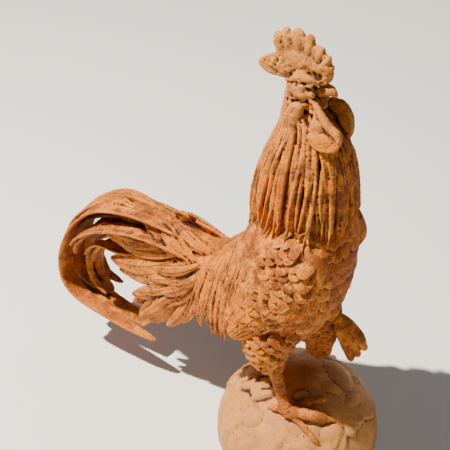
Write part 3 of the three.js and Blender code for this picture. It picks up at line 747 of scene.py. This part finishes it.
def coverts(carving):
    """Lance-shaped feathers over the tail's root: a close fan, and single leaves over it, on each side."""
    rng = random.Random(51)
    layers = [(10, 164, 238, 130, -3, 20), (9, 158, 243, 104, 0, 18), (8, 150, 250, 72, 4, 15)]
    for side in (1, -1):
        for layer, (count, first, last, length, rise, width) in enumerate(layers):
            for j in range(count):
                across = (j + 0.5 * (layer % 2)) / count + rng.uniform(-0.02, 0.02)
                angle = math.radians(first + (last - first) * across)
                way = Vector((math.cos(angle), 0, math.sin(angle)))
                reach = length * rng.uniform(0.93, 1.02)
                path = []
                for t in (0.12, 0.35, 0.6, 0.8, 1):
                    root = at(-104, side * (20 + rise - 13 * t * t), 124 - 14 * across)
                    path.append(root + way * reach * t * MM)
                carving.plume(path, LEFT * side, width * rng.uniform(0.9, 1.1), 5.5, leaf, 11, LANCE)
        for tip_x, tip_y, tip_z, root_x, root_y, root_z, width in LEAVES:
            tip, root = at(tip_x, -side * tip_y, tip_z), at(root_x, -side * root_y, root_z)
            bow = (tip - root).cross(LEFT).normalized() * (tip - root).length * 0.05
            high = rng.uniform(1.5, 6) * MM
            path = [root, root.lerp(tip, 0.35) + bow + LEFT * side * high,
                    root.lerp(tip, 0.7) + bow + LEFT * side * high, tip + LEFT * side * high * 0.7]
            tilt = Vector((rng.uniform(-0.25, 0.25), side, rng.uniform(0, 0.5))).normalized()
            carving.plume(path, tilt, width, 5.4, leaf, 12, LANCE)
        # The thick middle of the fan.
        rings = []
        for t in (0.1, 0.4, 0.7):
            ring = []
            for v in range(15):
                across = v / 14
                angle = math.radians(166 + 70 * across)
                ring.append(at(-104, side * (16 - 9 * t), 124 - 14 * across)
                            + Vector((math.cos(angle), 0, math.sin(angle))) * 124 * t * MM)
            ring += [Vector((p.x, 0, p.z)) for p in reversed(ring)]
            rings.append(ring)
        carving.loft(rings)


# Legs and feet.

def thigh(carving, places, side):
    carving.limb(places, 24, 6)
    rng = random.Random(61)
    points = [at(*place[:3]) for place in places]

    def around(t, angle, lift):
        t = min(t, 0.999)
        point, _ = on_curve(points, t)
        k = int(t * (len(places) - 1))
        share = t * (len(places) - 1) - k
        radius = places[k][3] * (1 - share) + places[k + 1][3] * share
        return point + Vector((math.sin(angle), side * math.cos(angle), 0)) * (radius + lift) * MM

    for i in range(9):
        begin = 0.1 + 0.098 * i
        count = 11 - i // 2
        for j in range(count):
            angle = (j + 0.5 * (i % 2) + rng.uniform(-0.15, 0.15)) / count * math.tau
            out = Vector((math.sin(angle), side * math.cos(angle), 0))
            reach = 0.15 * rng.uniform(0.9, 1.15)
            high = rng.uniform(3.4, 5.4) - 0.15 * i
            path = [around(begin + reach * t, angle, high * (-0.5, 0.2, 0.7, 1)[k])
                    for k, t in enumerate((0, 0.35, 0.7, 1))]
            carving.plume(path, out, (21 - 1.5 * i) * rng.uniform(0.95, 1.15), 3.6, scale, 10, SCALE)


def scutes(steps):
    """Low rings across a shank or toe."""
    return lambda t: 0.3 * math.sin(t * math.tau * steps)


def legs(carving):
    thigh(carving, STANDING_THIGH, -1)
    thigh(carving, RAISED_THIGH, 1)
    shank = [(-15, -43, 60, 8.4), (-5, -43, 42, 6.8), (4, -45, 18, 6.2), (FOOT_X, FOOT_Y, -1, 7.4)]
    carving.limb(shank, 18, 24, scutes(16))
    carving.limb([(6, 33, 26, 6.8), (11, 33, 54, 6.8), (19, 33, 80, 7.4)], 16, 20, scutes(12))
    # The raised foot: thick toes that hang together from its ball.
    carving.ball(at(23, 33, 76), (9, 9, 10), (0, 0.5, 0))
    for tip, y, bulge in (((45, 35), 30, 7.2), ((50, 41), 34, 7.8), ((56, 50), 37.5, 7.4)):
        x, z = tip
        way = [at(20, 33 + (y - 33) * 0.4, 80),
               at(20 + (x - 20) * 0.45, 33 + (y - 33) * 0.9, 80 + (z - 80) * 0.3),
               at(20 + (x - 20) * 0.82, y, 80 + (z - 80) * 0.7), at(x, y, z)]
        carving.tube(way, [6.4, bulge, bulge * 0.95, bulge * 0.6], 16)
        carving.ball(way[-1], (bulge * 0.62, bulge * 0.6, bulge * 0.8), (0, -0.5, 0), 8, 12)
    carving.limb([(20, 33, 80, 6), (22, 26, 66, 5.4), (20, 24, 56, 2)], 12, 8)


def standing_toe(carving, way, radius, fine):
    """A toe that lies on the rock through places (x, y) in millimetres and ends in a curved claw."""
    last = len(way) - 1
    points = []
    for i, (x, y) in enumerate(way):
        size = radius + (fine - radius) * i / last
        rise = size * (-0.2 if i == last else 0.55) + SOLE_RISE
        points.append(Vector((x, y, rock_top(x, y) + rise)) * MM)
    rings = []
    steps = 44
    for i in range(steps):
        t = i / steps
        point, along = on_curve(points, t)
        size = radius + (fine - radius) * t
        if t < 0.8:
            size *= 1 + 0.06 * math.sin(t * math.tau * 3.4) + 0.03 * math.sin(t * math.tau * 18)
        else:
            size *= 0.8 * (1.02 - t) / 0.22
            point = point + UP * 0.9 * math.sin((t - 0.8) * 15.7) * MM
        rings.append(ring_around(point, along, size, size, UP, 12))
    carving.loft(rings, None, on_curve(points, 1)[0])


def foot(carving):
    x, y = FOOT_X, FOOT_Y
    standing_toe(carving, [(x, y), (x + 13, y + 6), (x + 25, y + 12), (x + 43, y + 26)], 6.8, 5.4)
    standing_toe(carving, [(x, y), (x + 18, y - 3), (x + 30, y - 4), (x + 38, y - 4)], 4.1, 2.7)
    standing_toe(carving, [(x, y), (x + 9, y + 17), (x + 19, y + 30), (x + 26, y + 36)], 5.2, 3.4)
    standing_toe(carving, [(x, y), (x - 13, y - 1), (x - 27, y - 3)], 5.6, 2.8)


# Rock.

# Folds of the rock: middle x and y, radius, first and last bearing, height and breadth behind the edge.
FOLDS = [
    (62, -34, 13, -80, 60, 3.4, 7), (52, -38, 16, -70, 70, 3.6, 9), (66, -14, 10, -80, 80, 3, 5),
    (56, 4, 20, -70, 50, 3.4, 8), (44, 22, 34, -40, 70, 3.6, 8), (34, -64, 14, -100, 60, 1.8, 7),
    (4, -66, 16, -120, 20, 1.6, 8), (-44, -54, 17, 140, 330, 1.8, 8), (-52, 22, 22, 60, 260, 3, 8),
    (-50, 24, 13, 60, 250, 2.6, 6), (-12, 58, 24, 0, 200, 3, 9), (-8, 56, 13, 20, 230, 2.4, 6),
    (30, 46, 18, -30, 170, 2.8, 7), (-72, -8, 12, 80, 300, 2.4, 6)]


# Lumps and ledges on the rock: middle x and y, half length, half width, half height, bearing and sink.
LEDGES = [
    (-50, -7, 13, 8, 8, 35, 1.6), (-42, -19, 18, 6.5, 8, 24, 0.6), (-37, -31, 19, 6.5, 7.5, 12, 0.8),
    (-22, -40, 14, 6, 7, 32, 1.6), (-26, -24, 11, 5.5, 8, 28, 1.2), (-47, -14, 11, 8, 8, 70, 2.2),
    (-31, -36, 10, 8, 7, -15, 1.8), (-38, -25, 9, 6, 8, 60, 1.4), (-23, -62, 15, 12, 6.5, 20, 3.4),
    (16, -24, 8.5, 6, 8, 50, 2.5), (61, -35, 15, 12, 6, 41, 2.8), (74, -9, 5, 12, 5, -20, 2.5),
    (38, 6, 12, 8, 6, 25, 3), (32, 34, 26, 18, 9, -34, 5.5), (-46, 30, 22, 15, 9, -17, 5.5),
    (38, -66, 18, 9, 4.4, 37, 2.8), (-2, 54, 20, 12, 7, 10, 4.5), (60, 14, 16, 9, 6, 70, 3.6),
    (-70, 6, 14, 9, 6, 80, 3.5)]


def relief(x, y):
    """How far the rock's folds stand over its round, in millimetres."""
    total = 0.0
    for mx, my, radius, first, last, height, breadth in FOLDS:
        gap = radius - math.hypot(x - mx, y - my)
        if gap < -1.5:
            continue
        bearing = math.degrees(math.atan2(y - my, x - mx))
        middle, half = (first + last) / 2, (last - first) / 2
        away = abs((bearing - middle + 180) % 360 - 180)
        fade = min(1, max(0, (half - away) / 35))
        edge = min(1, (gap + 1.5) / 2)
        total = max(total, height * fade * edge * math.exp(-max(0, gap - 0.5) / breadth))
    return total


def rock(carving):
    rows, sides = 70, 220
    rings = []
    for i in range(1, rows + 1):
        a = i / rows * math.pi / 2
        ring = []
        for j in range(sides):
            b = j / sides * math.tau
            x, y = ROCK_RADIUS * math.sin(a) * math.cos(b), ROCK_RADIUS * math.sin(a) * math.sin(b)
            rise = relief(x, y) * min(1, (rows - i) / 8)
            out = Vector((math.sin(a) * math.cos(b), math.sin(a) * math.sin(b), math.cos(a)))
            ring.append((Vector((x, y, ROCK_RIM + (ROCK_HEIGHT - ROCK_RIM) * math.cos(a))) + out * rise) * MM)
        rings.append(ring)
    for high in (9, 4, 0):
        rings.append([Vector((ROCK_RADIUS * math.cos(b), ROCK_RADIUS * math.sin(b), high)) * MM
                      for b in [j / sides * math.tau for j in range(sides)]])
    carving.loft(rings, Vector((0, 0, ROCK_HEIGHT)) * MM, Vector((0, 0, 0)))
    for x, y, long, wide, high, bearing, sink in LEDGES:
        top = rock_top(x, y)
        out = Vector((x / ROCK_RADIUS ** 2, y / ROCK_RADIUS ** 2,
                      (top - ROCK_RIM) / (ROCK_HEIGHT - ROCK_RIM) ** 2)).normalized()
        way = Vector((math.cos(math.radians(bearing)), math.sin(math.radians(bearing)), 0))
        way = (way - out * way.dot(out)).normalized()
        turn = Matrix((way, out.cross(way), out)).transposed()
        carving.ball((Vector((x, y, top)) - out * sink) * MM, (long, wide, high), turn, 20, 28)


# Fusing and weathering.

def apply(obj, kind, **settings):
    modifier = obj.modifiers.new(kind.lower(), kind)
    for name, value in settings.items():
        setattr(modifier, name, value)
    bpy.ops.object.modifier_apply(modifier=modifier.name)


def fuse(name, carving, voxel, soft):
    """The gathered skins as one closed cast skin."""
    mesh = bpy.data.meshes.new(name)
    mesh.from_pydata([tuple(p) for p in carving.points], [], carving.faces)
    obj = bpy.data.objects.new(name, mesh)
    bpy.context.collection.objects.link(obj)
    bpy.ops.object.select_all(action="DESELECT")
    bpy.context.view_layer.objects.active = obj
    obj.select_set(True)
    apply(obj, "REMESH", mode="VOXEL", voxel_size=voxel * MM)
    if soft:
        apply(obj, "SMOOTH", factor=0.5, iterations=soft)
    return obj


def thin(obj, limit):
    """Fewer, larger faces where the skin is plain."""
    faces = sum(len(polygon.vertices) - 2 for polygon in obj.data.polygons)
    if faces > limit:
        apply(obj, "DECIMATE", ratio=limit / faces)


# Bright orange stains: place and radius in millimetres.
STAINS = [
    (26, -26, 328, 21), (-118, -20, 142, 26), (-178, -16, 106, 28), (-168, -16, 42, 26),
    (-40, -62, 102, 28), (-30, -64, 138, 24), (-15, -62, 88, 18), (-92, -42, 116, 16), (-112, 22, 120, 40),
    (-30, 60, 104, 30)]


def stain_at(place):
    """How strongly the orange stains show at each place."""
    total = np.zeros(len(place))
    for x, y, z, radius in STAINS:
        away = np.linalg.norm((place - np.array(at(x, y, z))) * 1000, axis=1) / radius
        total = np.maximum(total, np.clip(1 - away * away, 0, 1))
    return total


# Gauges for hollows: rounds of easing, the depth in millimetres that counts in full, and its share.
HOLLOW_GAUGES = {5: (0.45, 0.4), 60: (2.0, 0.6)}
BOX_MARGIN = 0.0003


def weather(obj, rough, dents):
    """Lumps, pits and dents in the skin, and how deep in a hollow each point lies."""
    mesh = obj.data
    count = len(mesh.vertices)
    place = np.empty(count * 3)
    mesh.vertices.foreach_get("co", place)
    place = place.reshape(-1, 3)
    normal = np.empty(count * 3)
    mesh.vertices.foreach_get("normal", normal)
    normal = normal.reshape(-1, 3)
    shift = np.empty(count)
    pits = Vector((7, 3, 5))
    for i, p in enumerate(place):
        q = Vector(p) * 1000
        shift[i] = (noise.noise(q / 8) * 0.4 + noise.noise(q / 3.2) * 0.26
                    - max(0.0, noise.noise(q / 2.4 + pits) - 0.36) * 2.2)
    place = place + normal * (shift * rough * MM)[:, None]
    for centre, radius, depth in dents:
        away = np.linalg.norm((place - np.array(centre)) * 1000, axis=1) / radius
        place -= normal * (np.clip(1 - away * away, 0, 1) ** 2 * depth * MM)[:, None]
    edges = np.empty(len(mesh.edges) * 2, dtype=np.int64)
    mesh.edges.foreach_get("vertices", edges)
    a, b = edges[0::2], edges[1::2]
    degree = np.maximum(np.bincount(a, minlength=count) + np.bincount(b, minlength=count), 1)
    eased = place.copy()
    hollow = np.zeros(count)
    for step in range(1, max(HOLLOW_GAUGES) + 1):
        total = np.zeros_like(eased)
        for axis in range(3):
            total[:, axis] = np.bincount(a, eased[b, axis], count) + np.bincount(b, eased[a, axis], count)
        eased = eased * 0.4 + 0.6 * total / degree[:, None]
        if step in HOLLOW_GAUGES:
            full, share = HOLLOW_GAUGES[step]
            depth = ((eased - place) * normal).sum(axis=1) * 1000
            hollow += np.clip(depth / full, -1, 1) * share
    # The skin stays inside the casting's box.
    low, high = np.array(cad_box[0]) + BOX_MARGIN, np.array(cad_box[1]) - BOX_MARGIN
    low[2] = cad_box[0][2]
    mesh.vertices.foreach_set("co", np.clip(place, low, high).ravel())
    layer = mesh.attributes.new("hollow", "FLOAT", "POINT")
    layer.data.foreach_set("value", (hollow * 0.5 + 0.5).astype(np.float32))
    layer = mesh.attributes.new("stain", "FLOAT", "POINT")
    layer.data.foreach_set("value", stain_at(place).astype(np.float32))
    mesh.update()


# Rusted iron.

def rusted_iron():
    paint = bpy.data.materials.new("rusted_iron")
    paint.use_nodes = True
    tree = paint.node_tree
    nodes, links = tree.nodes, tree.links
    shader = nodes["Principled BSDF"]
    shader.inputs["Metallic"].default_value = 0.0
    shader.inputs["Specular IOR Level"].default_value = 0.2
    where = nodes.new("ShaderNodeTexCoord").outputs["Object"]
    hollow = nodes.new("ShaderNodeAttribute")
    hollow.attribute_name = "hollow"

    def cloud(scale, detail, roughness=0.6):
        node = nodes.new("ShaderNodeTexNoise")
        node.inputs["Scale"].default_value = scale
        node.inputs["Detail"].default_value = detail
        node.inputs["Roughness"].default_value = roughness
        links.new(where, node.inputs["Vector"])
        return node.outputs["Fac"]

    def ramp(source, stops, smooth="EASE"):
        node = nodes.new("ShaderNodeValToRGB")
        node.color_ramp.interpolation = smooth
        for k, (position, colour) in enumerate(stops):
            element = node.color_ramp.elements[k] if k < 2 else node.color_ramp.elements.new(position)
            element.position = position
            element.color = (*colour, 1)
        links.new(source, node.inputs["Fac"])
        return node.outputs["Color"]

    def blend(kind, share, first, second):
        node = nodes.new("ShaderNodeMix")
        node.data_type = "RGBA"
        node.blend_type = kind
        sockets = (node.inputs["Factor"], node.inputs[6], node.inputs[7])
        for socket, value in zip(sockets, (share, first, second)):
            if isinstance(value, (int, float)):
                socket.default_value = value
            elif isinstance(value, tuple):
                socket.default_value = (*value, 1)
            else:
                links.new(value, socket)
        return node.outputs[2]

    tan, orange, brown = (0.55, 0.185, 0.022), (0.52, 0.115, 0.003), (0.17, 0.06, 0.026)
    russet = (0.32, 0.070, 0.012)
    patches = ramp(cloud(15, 4, 0.62), [(0.36, orange), (0.47, russet), (0.53, tan), (0.64, orange)])
    patches = blend("MIX", 0.3, patches, tan)
    blotches = ramp(cloud(60, 5, 0.72), [(0.36, (0.44, 0.37, 0.33)), (0.64, (1.24, 1.2, 1.12))])
    colour = blend("MULTIPLY", 0.85, patches, blotches)
    # Paler, dusty tan on comb and head.
    apart = nodes.new("ShaderNodeSeparateXYZ")
    links.new(where, apart.inputs[0])
    height = nodes.new("ShaderNodeMapRange")
    height.inputs["From Min"].default_value = 0.37
    height.inputs["From Max"].default_value = 0.45
    links.new(apart.outputs["Z"], height.inputs["Value"])
    colour = blend("MIX", height.outputs["Result"], colour, blend("MIX", 0.6, colour, (0.54, 0.235, 0.050)))
    # Bright orange where water stayed.
    stain = nodes.new("ShaderNodeAttribute")
    stain.attribute_name = "stain"
    colour = blend("MIX", stain.outputs["Fac"], colour, blend("MIX", 0.8, colour, (0.66, 0.19, 0.004)))
    # The rock is dustier.
    low = nodes.new("ShaderNodeAttribute")
    low.attribute_name = "dust"
    colour = blend("MIX", low.outputs["Fac"], colour, blend("MIX", 0.6, colour, (0.58, 0.28, 0.085)))
    # Painted shade: dark brown in the hollows, where shade falls. A lighter tan on the high edges.
    painted_shade = ramp(hollow.outputs["Fac"], [(0.51, (0, 0, 0)), (0.72, (1, 1, 1))])
    high = ramp(hollow.outputs["Fac"], [(0.2, (1, 1, 1)), (0.46, (0, 0, 0))])
    colour = blend("MIX", painted_shade, colour, blend("MULTIPLY", 1.0, colour, (0.10, 0.06, 0.05)))
    colour = blend("MIX", blend("MULTIPLY", 1.0, high, (0.3, 0.3, 0.3)), colour, (0.54, 0.24, 0.05))
    grains = ramp(cloud(420, 3, 0.7), [(0.34, brown), (0.56, (1, 1, 1))])
    less = nodes.new("ShaderNodeMapRange")
    less.inputs["To Min"].default_value = 0.45
    less.inputs["To Max"].default_value = 0.2
    links.new(low.outputs["Fac"], less.inputs["Value"])
    colour = blend("MULTIPLY", less.outputs["Result"], colour, grains)
    links.new(colour, shader.inputs["Base Color"])
    gloss = nodes.new("ShaderNodeMapRange")
    gloss.inputs["To Min"].default_value = 0.5
    gloss.inputs["To Max"].default_value = 0.9
    links.new(cloud(90, 3), gloss.inputs["Value"])
    wet = nodes.new("ShaderNodeMath")
    wet.operation = "MULTIPLY_ADD"
    wet.inputs[1].default_value = -0.18
    links.new(low.outputs["Fac"], wet.inputs[0])
    links.new(gloss.outputs["Result"], wet.inputs[2])
    links.new(wet.outputs[0], shader.inputs["Roughness"])
    coarse = nodes.new("ShaderNodeBump")
    coarse.inputs["Strength"].default_value = 0.8
    coarse.inputs["Distance"].default_value = 0.0011
    links.new(cloud(260, 6, 0.72), coarse.inputs["Height"])
    fine = nodes.new("ShaderNodeBump")
    fine.inputs["Strength"].default_value = 0.5
    fine.inputs["Distance"].default_value = 0.0004
    links.new(cloud(900, 3, 0.7), fine.inputs["Height"])
    links.new(coarse.outputs["Normal"], fine.inputs["Normal"])
    links.new(fine.outputs["Normal"], shader.inputs["Normal"])
    return paint


# The casting.

def part_of_casting(name, carve, voxel, soft, rough, paint, limit, dents=(), dust=0.0):
    """One piece: its skins fused at a voxel in millimetres, weathered, thinned to a limit and painted."""
    carving = Carving()
    for cut in carve:
        cut(carving)
    obj = fuse(name, carving, voxel, soft)
    weather(obj, rough, dents)
    thin(obj, limit)
    layer = obj.data.attributes.new("dust", "FLOAT", "POINT")
    layer.data.foreach_set("value", [dust] * len(obj.data.vertices))
    bpy.ops.object.shade_smooth()
    obj.data.materials.append(paint)
    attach(obj, "root")
    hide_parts("rooster")
    return obj


def hollows_of_head():
    """Dark hollows of the head: under the comb, around the eyes, in the mouth, beside the ears."""
    dents = [(at(14, 0, 361), 5, 2)]
    for side in (1, -1):
        dents += [(at(4, side * 8, 387), 4.6, 2.2), (at(9, side * 8, 387), 4.6, 2.2),
                  (at(-2, side * 8, 386), 4, 1.5), (at(3, side * 15, 376), 3.5, 1.8),
                  (at(-10, side * 15.5, 377), 3, 1.4), (at(3, side * 15, 341), 7, 3),
                  (at(0, side * 16, 330), 6, 2)]
    return dents


SHOULDERS = shoulders()
camera()
studio()
iron = rusted_iron()

part_of_casting("head_and_hackle", [
    lambda c: c.trunk(CORE_NECK, 40, 40), comb, face, lambda c: wattle(c, -1), lambda c: wattle(c, 1),
    hackle],
    voxel=0.8, soft=0, rough=0.9, paint=iron, limit=196000, dents=hollows_of_head())
part_of_casting("body_and_saddle", [
    lambda c: c.trunk(TORSO, 40, 48), breast, lambda c: saddle(c, 1), lambda c: saddle(c, -1)],
    voxel=0.85, soft=0, rough=0.8, paint=iron, limit=190000)
part_of_casting("wings", [
    lambda c: wing_lens(c, 1), lambda c: wing_lens(c, -1),
    lambda c: wing_feathers(c, 1), lambda c: wing_feathers(c, -1)],
    voxel=0.7, soft=0, rough=0.6, paint=iron, limit=196000)
part_of_casting("tail", [lambda c: c.trunk(TAIL, 12, 24), coverts, sickles],
                voxel=0.9, soft=0, rough=0.8, paint=iron, limit=185000)
part_of_casting("legs", [legs, foot], voxel=0.9, soft=0, rough=0.7, paint=iron, limit=100000)
part_of_casting("rock", [rock], voxel=1.2, soft=1, rough=0.55, paint=iron, limit=100000, dust=1.0)
